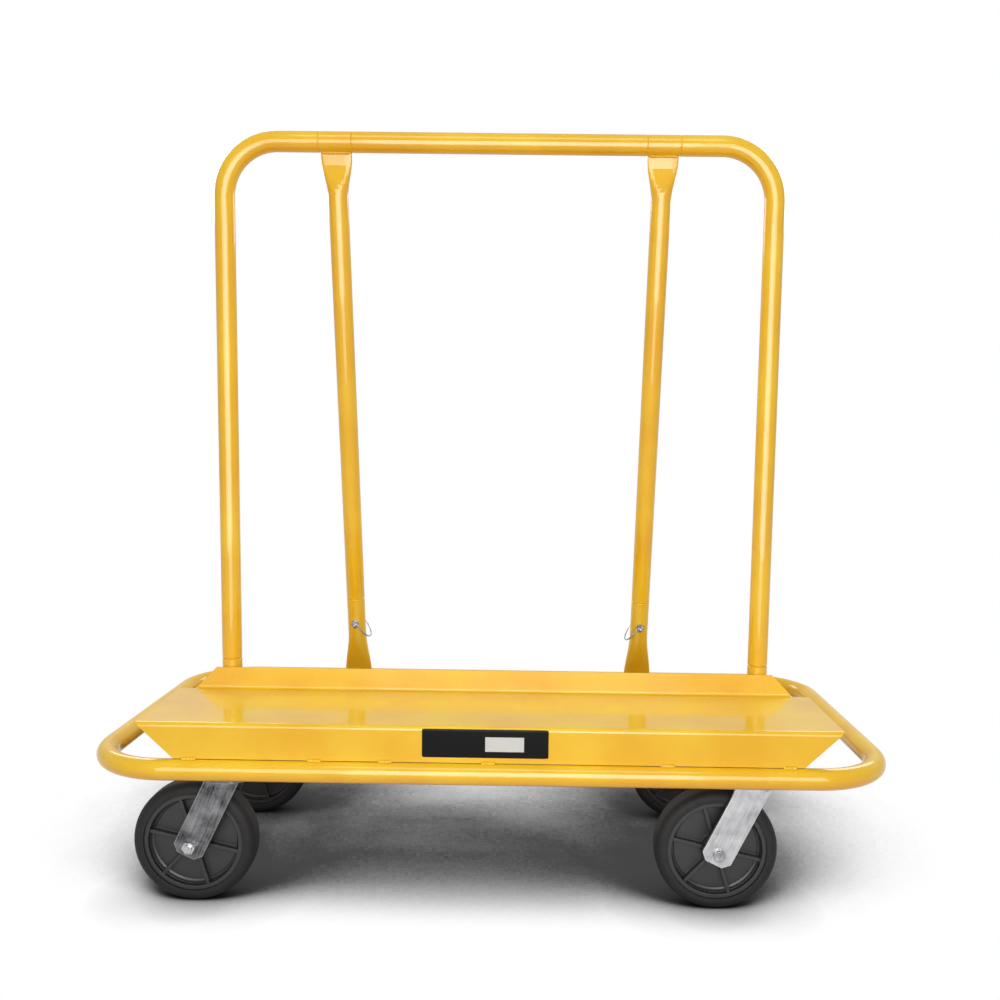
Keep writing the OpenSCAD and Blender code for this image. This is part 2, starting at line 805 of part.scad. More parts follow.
if (wanted("frame_loop")) frame_loop();
if (wanted("brace_bar")) brace_bar();
if (wanted("deck")) deck();
if (wanted("top_bar")) top_bar();
if (wanted("caster_bolts")) caster_bolts();
if (wanted("caster_nuts")) caster_nuts();
for (name = SIDES) {
    side = side_of(name);
    if (wanted(str("channel_", name))) channel(side);
    if (wanted(str("deck_rib_", name))) deck_rib(side);
    if (wanted(str("leg_socket_", name))) leg_socket(side);
    if (wanted(str("brace_foot_", name))) brace_foot(side);
    if (wanted(str("leg_", name))) leg(side);
    if (wanted(str("brace_", name))) brace(side);
    if (wanted(str("lock_pin_", name))) lock_pin(side);
    if (wanted(str("pin_bail_", name))) pin_bail(side);
}
for (i = [0 : len(CORNERS) - 1]) {
    if (wanted(str(CORNERS[i], "_plate"))) plate(i);
    if (wanted(str(CORNERS[i], "_kingpin"))) kingpin(i);
    if (wanted(str(CORNERS[i], "_race_balls"))) race_balls(i);
    if (wanted(str(CORNERS[i], "_fork"))) fork(i);
    if (wanted(str(CORNERS[i], "_axle_bolt"))) axle_bolt(i);
    if (wanted(str(CORNERS[i], "_axle_nut"))) axle_nut(i);
    if (wanted(str(CORNERS[i], "_axle_sleeve"))) axle_sleeve(i);
    if (wanted(str(CORNERS[i], "_wheel_core"))) wheel_core(i);
    if (wanted(str(CORNERS[i], "_tyre"))) tyre(i);
}
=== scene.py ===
# Drywall cart: powder-coated tube and sheet, zinc-plated casters, solid rubber tyres.
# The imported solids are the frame. This script gives them their finishes, and adds weld beads, wheel core
# fillets and a blank panel.
import json
import math

import bpy
import numpy as np
from mathutils import Matrix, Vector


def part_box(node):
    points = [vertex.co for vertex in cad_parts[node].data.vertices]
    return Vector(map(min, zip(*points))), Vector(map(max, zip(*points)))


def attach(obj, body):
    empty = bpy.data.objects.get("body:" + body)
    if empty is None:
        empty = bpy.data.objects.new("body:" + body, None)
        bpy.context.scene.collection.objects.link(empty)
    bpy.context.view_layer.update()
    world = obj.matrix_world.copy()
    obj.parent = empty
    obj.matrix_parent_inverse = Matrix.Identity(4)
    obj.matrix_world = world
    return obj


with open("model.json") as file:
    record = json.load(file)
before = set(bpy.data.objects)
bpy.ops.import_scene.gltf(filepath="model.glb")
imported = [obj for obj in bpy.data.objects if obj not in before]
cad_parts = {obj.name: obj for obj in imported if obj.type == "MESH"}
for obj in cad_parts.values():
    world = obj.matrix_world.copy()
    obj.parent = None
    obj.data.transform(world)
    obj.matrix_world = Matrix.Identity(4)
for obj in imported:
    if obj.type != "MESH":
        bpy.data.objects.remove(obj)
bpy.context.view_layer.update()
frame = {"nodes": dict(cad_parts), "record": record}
nodes = frame["nodes"]
mm = 0.001


# Colours are written as sRGB hex and used as linear light
def linear(hexColour):
    channels = np.array([int(hexColour[i:i + 2], 16) for i in (1, 3, 5)]) / 255
    low = channels / 12.92
    high = ((channels + 0.055) / 1.055) ** 2.4
    return (*np.where(channels <= 0.04045, low, high).tolist(), 1.0)


# Texture scale that gives features of about this many millimetres
def perMm(size):
    return 1 / (size * mm)


def newMaterial(name):
    material = bpy.data.materials.new(name)
    material.use_nodes = True
    material.node_tree.nodes.clear()
    return material, material.node_tree


# Adds a node, its settings, and its inputs, each a plain value or another node's output
def addNode(tree, kind, inputs=None, **settings):
    node = tree.nodes.new(kind)
    for name, value in settings.items():
        setattr(node, name, value)
    for socket, value in (inputs or {}).items():
        if isinstance(value, bpy.types.NodeSocket):
            tree.links.new(value, node.inputs[socket])
        else:
            node.inputs[socket].default_value = value
    return node


# Gloss polyester powder coat on steel: deep amber under a clear skin that mirrors what stands on it, with a
# slow drift in film thickness, painted brown shade in tight gaps and the faint orange peel of baked powder.
# Real peel is about 1 mm wide, and it is drawn three times as wide so that it shows
powderCoat = {
    "thin": "#F6CB24",
    "thick": "#EFBB16",
    "driftMm": 110,
    "driftBand": (0.35, 0.65),
    "roughness": (0.42, 0.3),
    # brown of the painted shade in tight gaps, how far it reaches, and the band of openness over which it
    # fades
    "paintedGapShade": "#7A430C",
    "paintedGapShadeMm": 7,
    "paintedGapShadeBand": (0.1, 0.48),
    "peelMm": 3.0,
    "peelDepthMm": 0.012,
    "peelStrength": 0.15,
    "edgeMm": 0.7,
    "skin": 0.62,
    "skinIndex": 1.62,
    "skinRoughness": 0.07,
    "underGloss": 0.1,
}


def makePowderCoat(s):
    material, tree = newMaterial("gloss powder coat, amber")
    place = addNode(tree, "ShaderNodeTexCoord").outputs["Object"]
    drift = addNode(tree, "ShaderNodeTexNoise", {
        "Vector": place, "Scale": perMm(s["driftMm"]), "Detail": 3.0}).outputs["Fac"]
    film = addNode(tree, "ShaderNodeMapRange", {
        "Value": drift, "From Min": s["driftBand"][0], "From Max": s["driftBand"][1]}).outputs["Result"]
    coat = addNode(tree, "ShaderNodeMix", {
        "Factor": film, "A": linear(s["thin"]), "B": linear(s["thick"])}, data_type="RGBA")
    # painted shade: where nearby surfaces close in the coat within a few millimetres, it turns brown
    openness = addNode(tree, "ShaderNodeAmbientOcclusion", {
        "Distance": s["paintedGapShadeMm"] * mm}, samples=8).outputs["AO"]
    clear = addNode(tree, "ShaderNodeMapRange", {
        "Value": openness,
        "From Min": s["paintedGapShadeBand"][0], "From Max": s["paintedGapShadeBand"][1]}).outputs["Result"]
    colour = addNode(tree, "ShaderNodeMix", {
        "Factor": clear, "A": linear(s["paintedGapShade"]), "B": coat.outputs["Result"]}, data_type="RGBA")
    roughness = addNode(tree, "ShaderNodeMapRange", {
        "Value": film, "To Min": s["roughness"][0], "To Max": s["roughness"][1]})
    peel = addNode(tree, "ShaderNodeTexNoise", {
        "Vector": place, "Scale": perMm(s["peelMm"]), "Detail": 1.0}).outputs["Fac"]
    edge = addNode(tree, "ShaderNodeBevel", {"Radius": s["edgeMm"] * mm}, samples=4).outputs["Normal"]
    bump = addNode(tree, "ShaderNodeBump", {
        "Height": peel, "Normal": edge,
        "Strength": s["peelStrength"], "Distance": s["peelDepthMm"] * mm})
    shader = addNode(tree, "ShaderNodeBsdfPrincipled", {
        "Base Color": colour.outputs["Result"],
        "Roughness": roughness.outputs["Result"],
        "Specular IOR Level": s["underGloss"],
        "Coat Weight": s["skin"],
        "Coat Roughness": s["skinRoughness"],
        "Coat IOR": s["skinIndex"],
        "Normal": edge,
        "Coat Normal": bump.outputs["Normal"]})
    addNode(tree, "ShaderNodeOutputMaterial", {"Surface": shader.outputs["BSDF"]})
    return material


# Zinc plate on pressed and turned steel: cool grey metal, softly clouded by the plating bath, drawn into
# streaks down the raked fork legs, with a painted highlight along their edges. The plate's own grain is far
# finer, and it is drawn at 1.8 mm so that it shows
zincPlate = {
    "cloudMm": 24,
    "streakMm": 3.2,
    "streakLengthMm": 50,
    "rakeTurn": 24,
    "streakShare": 0.36,
    "grainMm": 1.8,
    "grainShare": 0.12,
    "grainDepthMm": 0.02,
    "grainStrength": 0.2,
    "toneBand": (0.36, 0.64),
    "edgeMm": 0.8,
    "edgeHighlightMm": 5.0,
    "edgeHighlightBand": (1.0, 0.8),
}


def makeZincPlate(s, name, dull, bright, roughnesses, edgeHighlightShare):
    material, tree = newMaterial(name)
    place = addNode(tree, "ShaderNodeTexCoord").outputs["Object"]
    cloud = addNode(tree, "ShaderNodeTexNoise", {
        "Vector": place, "Scale": perMm(s["cloudMm"]), "Detail": 4.0}).outputs["Fac"]
    across = s["streakMm"] * mm
    along = s["streakLengthMm"] * mm
    drawn = addNode(tree, "ShaderNodeMapping", {
        "Vector": place,
        "Rotation": (0.0, math.radians(s["rakeTurn"]), 0.0),
        "Scale": (across, across, along)}, vector_type="TEXTURE").outputs["Vector"]
    streak = addNode(tree, "ShaderNodeTexNoise", {
        "Vector": drawn, "Scale": 1.0, "Detail": 3.0}).outputs["Fac"]
    grain = addNode(tree, "ShaderNodeTexNoise", {
        "Vector": place, "Scale": perMm(s["grainMm"]), "Detail": 2.0}).outputs["Fac"]
    clouded = addNode(tree, "ShaderNodeMix", {
        "Factor": s["streakShare"], "A": cloud, "B": streak}).outputs["Result"]
    wear = addNode(tree, "ShaderNodeMix", {
        "Factor": s["grainShare"], "A": clouded, "B": grain}).outputs["Result"]
    tone = addNode(tree, "ShaderNodeMapRange", {
        "Value": wear, "From Min": s["toneBand"][0], "From Max": s["toneBand"][1]}).outputs["Result"]
    # near an edge the widely rounded normal leaves that of the face, and there the plate is lightened: a
    # painted highlight
    edge = addNode(tree, "ShaderNodeBevel", {"Radius": s["edgeMm"] * mm}, samples=4).outputs["Normal"]
    rounded = addNode(tree, "ShaderNodeBevel", {"Radius": s["edgeHighlightMm"] * mm}, samples=6).outputs["Normal"]
    faceNormal = addNode(tree, "ShaderNodeNewGeometry").outputs["True Normal"]
    facing = addNode(tree, "ShaderNodeVectorMath", {
        0: rounded, 1: faceNormal}, operation="DOT_PRODUCT").outputs["Value"]
    # painted highlight: the plate turns towards its bright tone along every edge
    edgeHighlight = addNode(tree, "ShaderNodeMapRange", {
        "Value": facing,
        "From Min": s["edgeHighlightBand"][0], "From Max": s["edgeHighlightBand"][1], "To Max": edgeHighlightShare}).outputs["Result"]
    toneWithEdgeHighlight = addNode(tree, "ShaderNodeMath", {
        0: tone, 1: edgeHighlight}, operation="ADD", use_clamp=True).outputs["Value"]
    colour = addNode(tree, "ShaderNodeMix", {
        "Factor": toneWithEdgeHighlight, "A": linear(dull), "B": linear(bright)}, data_type="RGBA")
    roughness = addNode(tree, "ShaderNodeMapRange", {
        "Value": toneWithEdgeHighlight, "To Min": roughnesses[0], "To Max": roughnesses[1]})
    bump = addNode(tree, "ShaderNodeBump", {
        "Height": wear, "Normal": edge,
        "Strength": s["grainStrength"], "Distance": s["grainDepthMm"] * mm})
    shader = addNode(tree, "ShaderNodeBsdfPrincipled", {
        "Base Color": colour.outputs["Result"],
        "Metallic": 1.0,
        "Roughness": roughness.outputs["Result"],
        "Normal": bump.outputs["Normal"]})
    addNode(tree, "ShaderNodeOutputMaterial", {"Surface": shader.outputs["BSDF"]})
    return material


# Distance from a wheel's axle, for patterns that go round it
def axleDistance(tree, place, axle):
    offset = addNode(tree, "ShaderNodeVectorMath", {0: place, 1: axle}, operation="SUBTRACT")
    flat = addNode(tree, "ShaderNodeVectorMath", {
        0: offset.outputs["Vector"], 1: (1.0, 0.0, 1.0)}, operation="MULTIPLY")
    length = addNode(tree, "ShaderNodeVectorMath", {0: flat.outputs["Vector"]}, operation="LENGTH")
    return length.outputs["Value"]


# Glass-filled polypropylene wheel core: charcoal, satin, with the tool's turned lines round the hub. Lines
# and grain are a few tenths of a millimetre on a real core, and are drawn coarser so that they show
moulding = {
    "dark": "#1E1F20",
    "light": "#303133",
    "cloudMm": 30,
    "turningMm": 1.6,
    "turningDepthMm": 0.05,
    "turningStrength": 0.35,
    "grainMm": 0.9,
    "roughness": (0.36, 0.5),
    "index": 1.49,
    "edgeMm": 1.8,
}


def makeMoulding(s, name, axle):
    material, tree = newMaterial(name)
    place = addNode(tree, "ShaderNodeTexCoord").outputs["Object"]
    cloud = addNode(tree, "ShaderNodeTexNoise", {
        "Vector": place, "Scale": perMm(s["cloudMm"]), "Detail": 4.0}).outputs["Fac"]
    grain = addNode(tree, "ShaderNodeTexNoise", {
        "Vector": place, "Scale": perMm(s["grainMm"]), "Detail": 2.0}).outputs["Fac"]
    colour = addNode(tree, "ShaderNodeMix", {
        "Factor": cloud, "A": linear(s["dark"]), "B": linear(s["light"])}, data_type="RGBA")
    radius = axleDistance(tree, place, axle)
    turning = addNode(tree, "ShaderNodeTexNoise", {
        "W": radius, "Scale": perMm(s["turningMm"]), "Detail": 2.0}, noise_dimensions="1D").outputs["Fac"]
    relief = addNode(tree, "ShaderNodeMath", {0: turning, 1: grain}, operation="ADD").outputs["Value"]
    # the relief is the sum of two patterns, so it runs from 0 to 2
    roughness = addNode(tree, "ShaderNodeMapRange", {
        "Value": relief, "From Max": 2.0, "To Min": s["roughness"][0], "To Max": s["roughness"][1]})
    edge = addNode(tree, "ShaderNodeBevel", {"Radius": s["edgeMm"] * mm}, samples=4).outputs["Normal"]
    bump = addNode(tree, "ShaderNodeBump", {
        "Height": relief, "Normal": edge,
        "Strength": s["turningStrength"], "Distance": s["turningDepthMm"] * mm})
    shader = addNode(tree, "ShaderNodeBsdfPrincipled", {
        "Base Color": colour.outputs["Result"],
        "Roughness": roughness.outputs["Result"],
        "IOR": s["index"],
        "Normal": bump.outputs["Normal"]})
    addNode(tree, "ShaderNodeOutputMaterial", {"Surface": shader.outputs["BSDF"]})
    return material


# Moulded solid rubber: near black, matt, with a grey bloom, rings from the mould and its parting line. The
# rubber's grain is drawn coarser than it is, so that it shows
rubber = {
    "dark": "#101011",
    "bloom": "#1F1F20",
    "bloomMm": 22,
    "bloomBreakup": 0.6,
    "bloomBand": (0.35, 0.75),
    "grainMm": 0.8,
    "roughness": (0.58, 0.78),
    "index": 1.52,
    "gloss": 0.3,
    "ringMm": 2.6,
    "ringDepthMm": 0.12,
    "ringStrength": 0.3,
    "partingMm": 0.5,
    "partingDepthMm": 0.3,
    "partingStrength": 0.6,
    "edgeMm": 0.8,
}


def makeRubber(s, name, axle):
    material, tree = newMaterial(name)
    place = addNode(tree, "ShaderNodeTexCoord").outputs["Object"]
    bloom = addNode(tree, "ShaderNodeTexNoise", {
        "Vector": place, "Scale": perMm(s["bloomMm"]),
        "Detail": 5.0, "Roughness": s["bloomBreakup"]}).outputs["Fac"]
    grain = addNode(tree, "ShaderNodeTexNoise", {
        "Vector": place, "Scale": perMm(s["grainMm"]), "Detail": 2.0}).outputs["Fac"]
    dusty = addNode(tree, "ShaderNodeMapRange", {
        "Value": bloom, "From Min": s["bloomBand"][0], "From Max": s["bloomBand"][1]}).outputs["Result"]
    colour = addNode(tree, "ShaderNodeMix", {
        "Factor": dusty, "A": linear(s["dark"]), "B": linear(s["bloom"])}, data_type="RGBA")
    roughness = addNode(tree, "ShaderNodeMapRange", {
        "Value": grain, "To Min": s["roughness"][0], "To Max": s["roughness"][1]})
    radius = axleDistance(tree, place, axle)
    rings = addNode(tree, "ShaderNodeTexNoise", {
        "W": radius, "Scale": perMm(s["ringMm"]), "Detail": 1.0}, noise_dimensions="1D").outputs["Fac"]
    # the two mould halves meet on the middle of the tread, front and rear wheels alike
    across = addNode(tree, "ShaderNodeSeparateXYZ", {"Vector": place}).outputs["Y"]
    side = addNode(tree, "ShaderNodeMath", {0: across}, operation="ABSOLUTE").outputs["Value"]
    parting = addNode(tree, "ShaderNodeMath", {
        0: side, 1: axle[1], 2: s["partingMm"] * mm}, operation="COMPARE").outputs["Value"]
    edge = addNode(tree, "ShaderNodeBevel", {"Radius": s["edgeMm"] * mm}, samples=4).outputs["Normal"]
    moulded = addNode(tree, "ShaderNodeBump", {
        "Height": rings, "Normal": edge,
        "Strength": s["ringStrength"], "Distance": s["ringDepthMm"] * mm}).outputs["Normal"]
    seamed = addNode(tree, "ShaderNodeBump", {
        "Height": parting, "Normal": moulded,
        "Strength": s["partingStrength"], "Distance": s["partingDepthMm"] * mm})
    shader = addNode(tree, "ShaderNodeBsdfPrincipled", {
        "Base Color": colour.outputs["Result"],
        "Roughness": roughness.outputs["Result"],
        "IOR": s["index"],
        "Specular IOR Level": s["gloss"],
        "Normal": seamed.outputs["Normal"]})
    addNode(tree, "ShaderNodeOutputMaterial", {"Surface": shader.outputs["BSDF"]})
    return material


paint = makePowderCoat(powderCoat)
# name, dull and bright tones, roughness of each, and how strong the painted highlight along the edges is
platings = {
    "wire": ("plated spring wire", "#808082", "#C9C9CB", (0.34, 0.22), 0.0),
    "fastener": ("bright zinc-plated steel", "#6C6C6E", "#CFCFD1", (0.3, 0.18), 0.0),
    # darker and lighter copies of one caster plating: painted shade on the left, painted light on the right
    "left": ("zinc-plated steel in painted shade", "#232324", "#8A8A8C", (0.48, 0.34), 0.6),
    "right": ("zinc-plated steel", "#909092", "#CACACC", (0.42, 0.3), 0.5),
}
plated = {use: makeZincPlate(zincPlate, *tones) for use, tones in platings.items()}
finishes = {"powder_coat": paint, "spring_wire": plated["wire"], "zinc_steel": plated["fastener"]}
# the left casters take a darker copy of the plating and the right ones a lighter copy: painted shade on the
# left and painted light on the right, for how the light falls on each side
sideFinishes = {(side, "zinc_steel"): plated[side] for side in ("left", "right")}
for side in ("left", "right"):
    axleLow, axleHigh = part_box(f"rear_{side}_tyre")
    axle = tuple((axleLow + axleHigh) / 2)
    sideFinishes[side, "core_plastic"] = makeMoulding(moulding, f"moulded polypropylene, {side}", axle)
    sideFinishes[side, "tyre_rubber"] = makeRubber(rubber, f"solid rubber, {side}", axle)

for part in frame["record"]["subparts"]:
    name = part["node"]
    slot = part["material_slot"]
    side = "left" if "left" in name else "right"
    large = name.endswith(("_fork", "_plate", "_wheel_core", "_tyre"))
    finish = sideFinishes[side, slot] if large else finishes[slot]
    for holder in nodes[name].material_slots:
        holder.material = finish


# Makes a closed mesh piece that rides on a body and takes the given finish
def addPiece(name, points, faces, material, body="base", smooth=True):
    mesh = bpy.data.meshes.new(name)
    mesh.from_pydata(points.tolist(), [], faces)
    mesh.polygons.foreach_set("use_smooth", np.full(len(mesh.polygons), smooth))
    mesh.materials.append(material)
    mesh.update()
    piece = bpy.data.objects.new(name, mesh)
    bpy.context.collection.objects.link(piece)
    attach(piece, body)


# Weld beads: a round profile carried along the seam, swelling once for every dab of the torch
weld = {
    "radius": 3.0 * mm,
    "pitch": 3.2 * mm,
    "ripple": 0.16,
    "step": 0.55 * mm,
    "sides": 12,
    "endShare": 0.35,
    "endLength": 2.5 * mm,
}


# Point on the profile at angle a: path + r(s) * (side * cos a + up * sin a), where s is the distance along
# the seam, up is the lift made square to it, and r(s) is the bead's radius, rippled by a cosine of s and
# drawn in near both ends
def weldBead(seam, lift):
    run = np.concatenate([[0], np.cumsum(np.linalg.norm(np.diff(seam, axis=0), axis=1))])
    count = max(8, int(run[-1] / weld["step"]))
    s = np.linspace(0, run[-1], count)
    path = np.stack([np.interp(s, run, seam[:, k]) for k in range(3)], 1)
    ahead = np.gradient(path, axis=0)
    ahead /= np.linalg.norm(ahead, axis=1, keepdims=True)
    side = np.cross(ahead, lift)
    side /= np.linalg.norm(side, axis=1, keepdims=True)
    up = np.cross(side, ahead)
    ripple = 1 + weld["ripple"] * np.cos(2 * np.pi * s / weld["pitch"])
    ends = np.clip(np.minimum(s, run[-1] - s) / weld["endLength"], 0, 1)
    fullness = weld["endShare"] + (1 - weld["endShare"]) * np.sqrt(ends * (2 - ends))
    r = weld["radius"] * ripple * fullness
    n = weld["sides"]
    a = np.linspace(0, 2 * np.pi, n, endpoint=False)
    ring = side[:, None] * np.cos(a)[:, None] + up[:, None] * np.sin(a)[:, None]
    points = (path[:, None] + r[:, None, None] * ring).reshape(-1, 3)
    i, j = np.meshgrid(np.arange(count - 1), np.arange(n), indexing="ij")
    k = (j + 1) % n
    quads = np.stack([i * n + j, (i + 1) * n + j, (i + 1) * n + k, i * n + k], -1).reshape(-1, 4).tolist()
    first = np.arange(n).tolist()
    last = ((count - 1) * n + np.arange(n))[::-1].tolist()
    return points, quads + [first, last]


def addWelds(name, beads):
    points = []
    faces = []
    start = 0
    for beadPoints, beadFaces in beads:
        points.append(beadPoints)
        faces += [[v + start for v in face] for face in beadFaces]
        start += len(beadPoints)
    addPiece(name, np.concatenate(points), faces, paint)


def straight(start, end):
    return np.array([start, end], float)


def middle(box):
    return np.array((box[0] + box[1]) / 2)


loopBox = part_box("frame_loop")
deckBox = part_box("deck")
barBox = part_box("brace_bar")
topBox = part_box("top_bar")
tubeRadius = (barBox[1].z - barBox[0].z) / 2
railZ = middle(loopBox)[2]
railY = loopBox[1].y - tubeRadius

# Short stitches hold the deck's front flange to the rail
flangeWeld = {"places": (-465, -270, -160, 0, 278, 467), "length": 22 * mm, "out": 1.2 * mm}
flangeY = deckBox[0].y
stitches = []
for place in flangeWeld["places"]:
    start = place * mm - flangeWeld["length"] / 2
    end = place * mm + flangeWeld["length"] / 2
    y = flangeY - flangeWeld["out"]
    z = deckBox[0].z
    stitches.append(weldBead(straight((start, y, z), (end, y, z)), np.array((0, -1.0, 0))))
addWelds("weld_front_flange", stitches)

# A bead runs across each side of the flattened brace ends, where they meet the tee and the foot bar
braceWeld = {"halfWidth": 24 * mm, "halfFlat": 3.9 * mm}
foot = middle(barBox)
tee = middle(topBox)
for side in ("left", "right"):
    x = middle(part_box(f"brace_{side}"))[0]
    rise = np.array([0, tee[1] - foot[1], tee[2] - foot[2]])
    rise /= np.linalg.norm(rise)
    out = np.array([0, -rise[2], rise[1]])
    beads = []
    for centre, along in ((tee, -rise), (foot, rise)):
        for face in (-1, 1):
            reach = math.sqrt(tubeRadius ** 2 - braceWeld["halfFlat"] ** 2)
            spot = np.array([x, centre[1], centre[2]]) + along * reach + out * face * braceWeld["halfFlat"]
            half = np.array([braceWeld["halfWidth"], 0, 0])
            beads.append(weldBead(straight(spot - half, spot + half), out * face))
    addWelds(f"weld_brace_{side}", beads)

# Each channel wall is welded round the inner side of both rails, and the foot bar round its ends
channelWeld = {"halfTurn": 56, "points": 24}
for side in ("left", "right"):
    low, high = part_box(f"channel_{side}")
    turn = np.radians(np.linspace(-channelWeld["halfTurn"], channelWeld["halfTurn"], channelWeld["points"]))
    beads = []
    for x in (low.x, high.x):
        for end in (-1, 1):
            seam = np.stack([
                np.full(turn.shape, x),
                end * (railY - tubeRadius * np.cos(turn)),
                railZ + tubeRadius * np.sin(turn)], 1)
            beads.append(weldBead(seam, np.array((1.0, 0, 0))))
    addWelds(f"weld_channel_{side}", beads)
    whole = np.radians(np.linspace(0, 360, 3 * channelWeld["points"]))
    x = barBox[0].x if side == "left" else barBox[1].x
    seam = np.stack([
        np.full(whole.shape, x),
        foot[1] + tubeRadius * np.cos(whole),
        foot[2] + tubeRadius * np.sin(whole)], 1)
    addWelds(f"weld_foot_bar_{side}", [weldBead(seam, np.array((1.0, 0, 0)))])

# The leg sockets are stitched to the back of the rear flange and round their feet
socketWeld = {"spread": 5.5 * mm, "inset": 7 * mm, "length": 21 * mm, "points": 64}
for side in ("left", "right"):
    low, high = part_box(f"leg_socket_{side}")
    centre = (low + high) / 2
    beads = []
    for way in (-1, 1):
        x = centre.x + way * socketWeld["spread"]
        y = deckBox[1].y
        end = deckBox[1].z - socketWeld["inset"]
        start = end - socketWeld["length"]
        beads.append(weldBead(straight((x, y, start), (x, y, end)), np.array((0, 1.0, 0))))
    turn = np.radians(np.linspace(0, 360, socketWeld["points"]))
    seam = np.stack([
        centre.x + tubeRadius * np.cos(turn),
        centre.y + tubeRadius * np.sin(turn),
        np.full(turn.shape, low.z)], 1)
    beads.append(weldBead(seam, np.array((0, 0, 1.0))))
    addWelds(f"weld_leg_socket_{side}", beads)

# The ribs are stitched to the deck above and the channel below
ribWeld = {"length": 26 * mm, "places": (0.3, 0.82)}
for side in ("left", "right"):
    low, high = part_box(f"deck_rib_{side}")
    x = high.x if side == "left" else low.x
    beads = []
    for share in ribWeld["places"]:
        y = low.y + share * (high.y - low.y)
        start = y - ribWeld["length"] / 2
        end = y + ribWeld["length"] / 2
        for z in (low.z, high.z):
            beads.append(weldBead(straight((x, start, z), (x, end, z)), np.array((1.0, 0, 0))))
    addWelds(f"weld_deck_rib_{side}", beads)
print("weld beads laid")


# Moulded fillets where each wheel core's web meets its rim, on both faces
coreFillet = {
    "radius": 6 * mm,
    "rimInside": 75 * mm,
    "webHalf": 7 * mm,
    "sink": 0.6 * mm,
    "arcPoints": 9,
    "around": 144,
}


# Ring swept round the axle: the profile (r, y) goes to axle + (r cos a, y, r sin a), where the profile is
# the corner of web and rim closed by a concave quarter circle
def filletRing(axle, face):
    s = coreFillet
    turn = np.linspace(0, np.pi / 2, s["arcPoints"])
    arcR = s["rimInside"] - s["radius"] + s["radius"] * np.sin(turn)
    arcY = s["webHalf"] + s["radius"] - s["radius"] * np.cos(turn)
    deepR = s["rimInside"] + s["sink"]
    deepY = s["webHalf"] - s["sink"]
    r = np.concatenate([[deepR, arcR[0]], arcR, [deepR]])
    y = np.concatenate([[deepY, deepY], arcY, [arcY[-1]]]) * face
    if face < 0:
        r = r[::-1]
        y = y[::-1]
    a = np.linspace(0, 2 * np.pi, s["around"], endpoint=False)[:, None]
    n = len(r)
    depth = np.broadcast_to(y, (len(a), n))
    points = np.stack([r * np.cos(a), depth, r * np.sin(a)], -1).reshape(-1, 3)
    i, j = np.meshgrid(np.arange(len(a)), np.arange(n), indexing="ij")
    nextI = (i + 1) % len(a)
    nextJ = (j + 1) % n
    faces = np.stack([i * n + j, nextI * n + j, nextI * n + nextJ, i * n + nextJ], -1).reshape(-1, 4)
    return points + np.array(axle), faces


for corner in ("front_left", "front_right", "rear_left", "rear_right"):
    axle = middle(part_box(f"{corner}_tyre"))
    frontRing, frontFaces = filletRing(axle, -1)
    backRing, backFaces = filletRing(axle, 1)
    faces = np.concatenate([frontFaces, backFaces + len(frontRing)]).tolist()
    finish = sideFinishes[corner.split("_")[1], "core_plastic"]
    addPiece(f"{corner}_core_fillets", np.concatenate([frontRing, backRing]), faces, finish,
             f"{corner}_wheel")
print("wheel core fillets turned")


# Blank vinyl panel on the front flange: black matt film with an empty pale field to write on, and a grain
# that is drawn coarser than the film's own so that it shows
panel = {
    "width": 196 * mm,
    "height": 45 * mm,
    "rise": 31 * mm,
    "flatHeight": 50 * mm,
    "foldRadius": 7 * mm,
    "centreX": -5 * mm,
    "lift": 0.25 * mm,
    "cornerPower": 36,
    "rings": 24,
    "innerShare": 0.02,
    "around": 160,
    "film": "#101011",
    "field": "#D4DADC",
    "fieldX": 30 * mm,
    "fieldZ": -1 * mm,
    "fieldWidth": 60 * mm,
    "fieldHeight": 23 * mm,
    "grainMm": 1.4,
    "grainDepthMm": 0.03,
    "grainStrength": 0.1,
    "roughness": (0.28, 0.42),
    "index": 1.53,
    "gloss": 0.08,
}


def makePanelFilm(s, centre):
    material, tree = newMaterial("black vinyl film")
    place = addNode(tree, "ShaderNodeTexCoord").outputs["Object"]
    parts = addNode(tree, "ShaderNodeSeparateXYZ", {"Vector": place}).outputs
    inX = addNode(tree, "ShaderNodeMath", {
        0: parts["X"], 1: centre[0] + s["fieldX"],
        2: s["fieldWidth"] / 2}, operation="COMPARE").outputs["Value"]
    inZ = addNode(tree, "ShaderNodeMath", {
        0: parts["Z"], 1: centre[2] + s["fieldZ"],
        2: s["fieldHeight"] / 2}, operation="COMPARE").outputs["Value"]
    field = addNode(tree, "ShaderNodeMath", {0: inX, 1: inZ}, operation="MULTIPLY").outputs["Value"]
    colour = addNode(tree, "ShaderNodeMix", {
        "Factor": field, "A": linear(s["film"]), "B": linear(s["field"])}, data_type="RGBA")
    grain = addNode(tree, "ShaderNodeTexNoise", {
        "Vector": place, "Scale": perMm(s["grainMm"]), "Detail": 2.0}).outputs["Fac"]
    roughness = addNode(tree, "ShaderNodeMapRange", {
        "Value": grain, "To Min": s["roughness"][0], "To Max": s["roughness"][1]})
    bump = addNode(tree, "ShaderNodeBump", {
        "Height": grain, "Strength": s["grainStrength"], "Distance": s["grainDepthMm"] * mm})
    shader = addNode(tree, "ShaderNodeBsdfPrincipled", {
        "Base Color": colour.outputs["Result"],
        "Roughness": roughness.outputs["Result"],
        "IOR": s["index"],
        "Specular IOR Level": s["gloss"],
        "Normal": bump.outputs["Normal"]})
    addNode(tree, "ShaderNodeOutputMaterial", {"Surface": shader.outputs["BSDF"]})
    return material


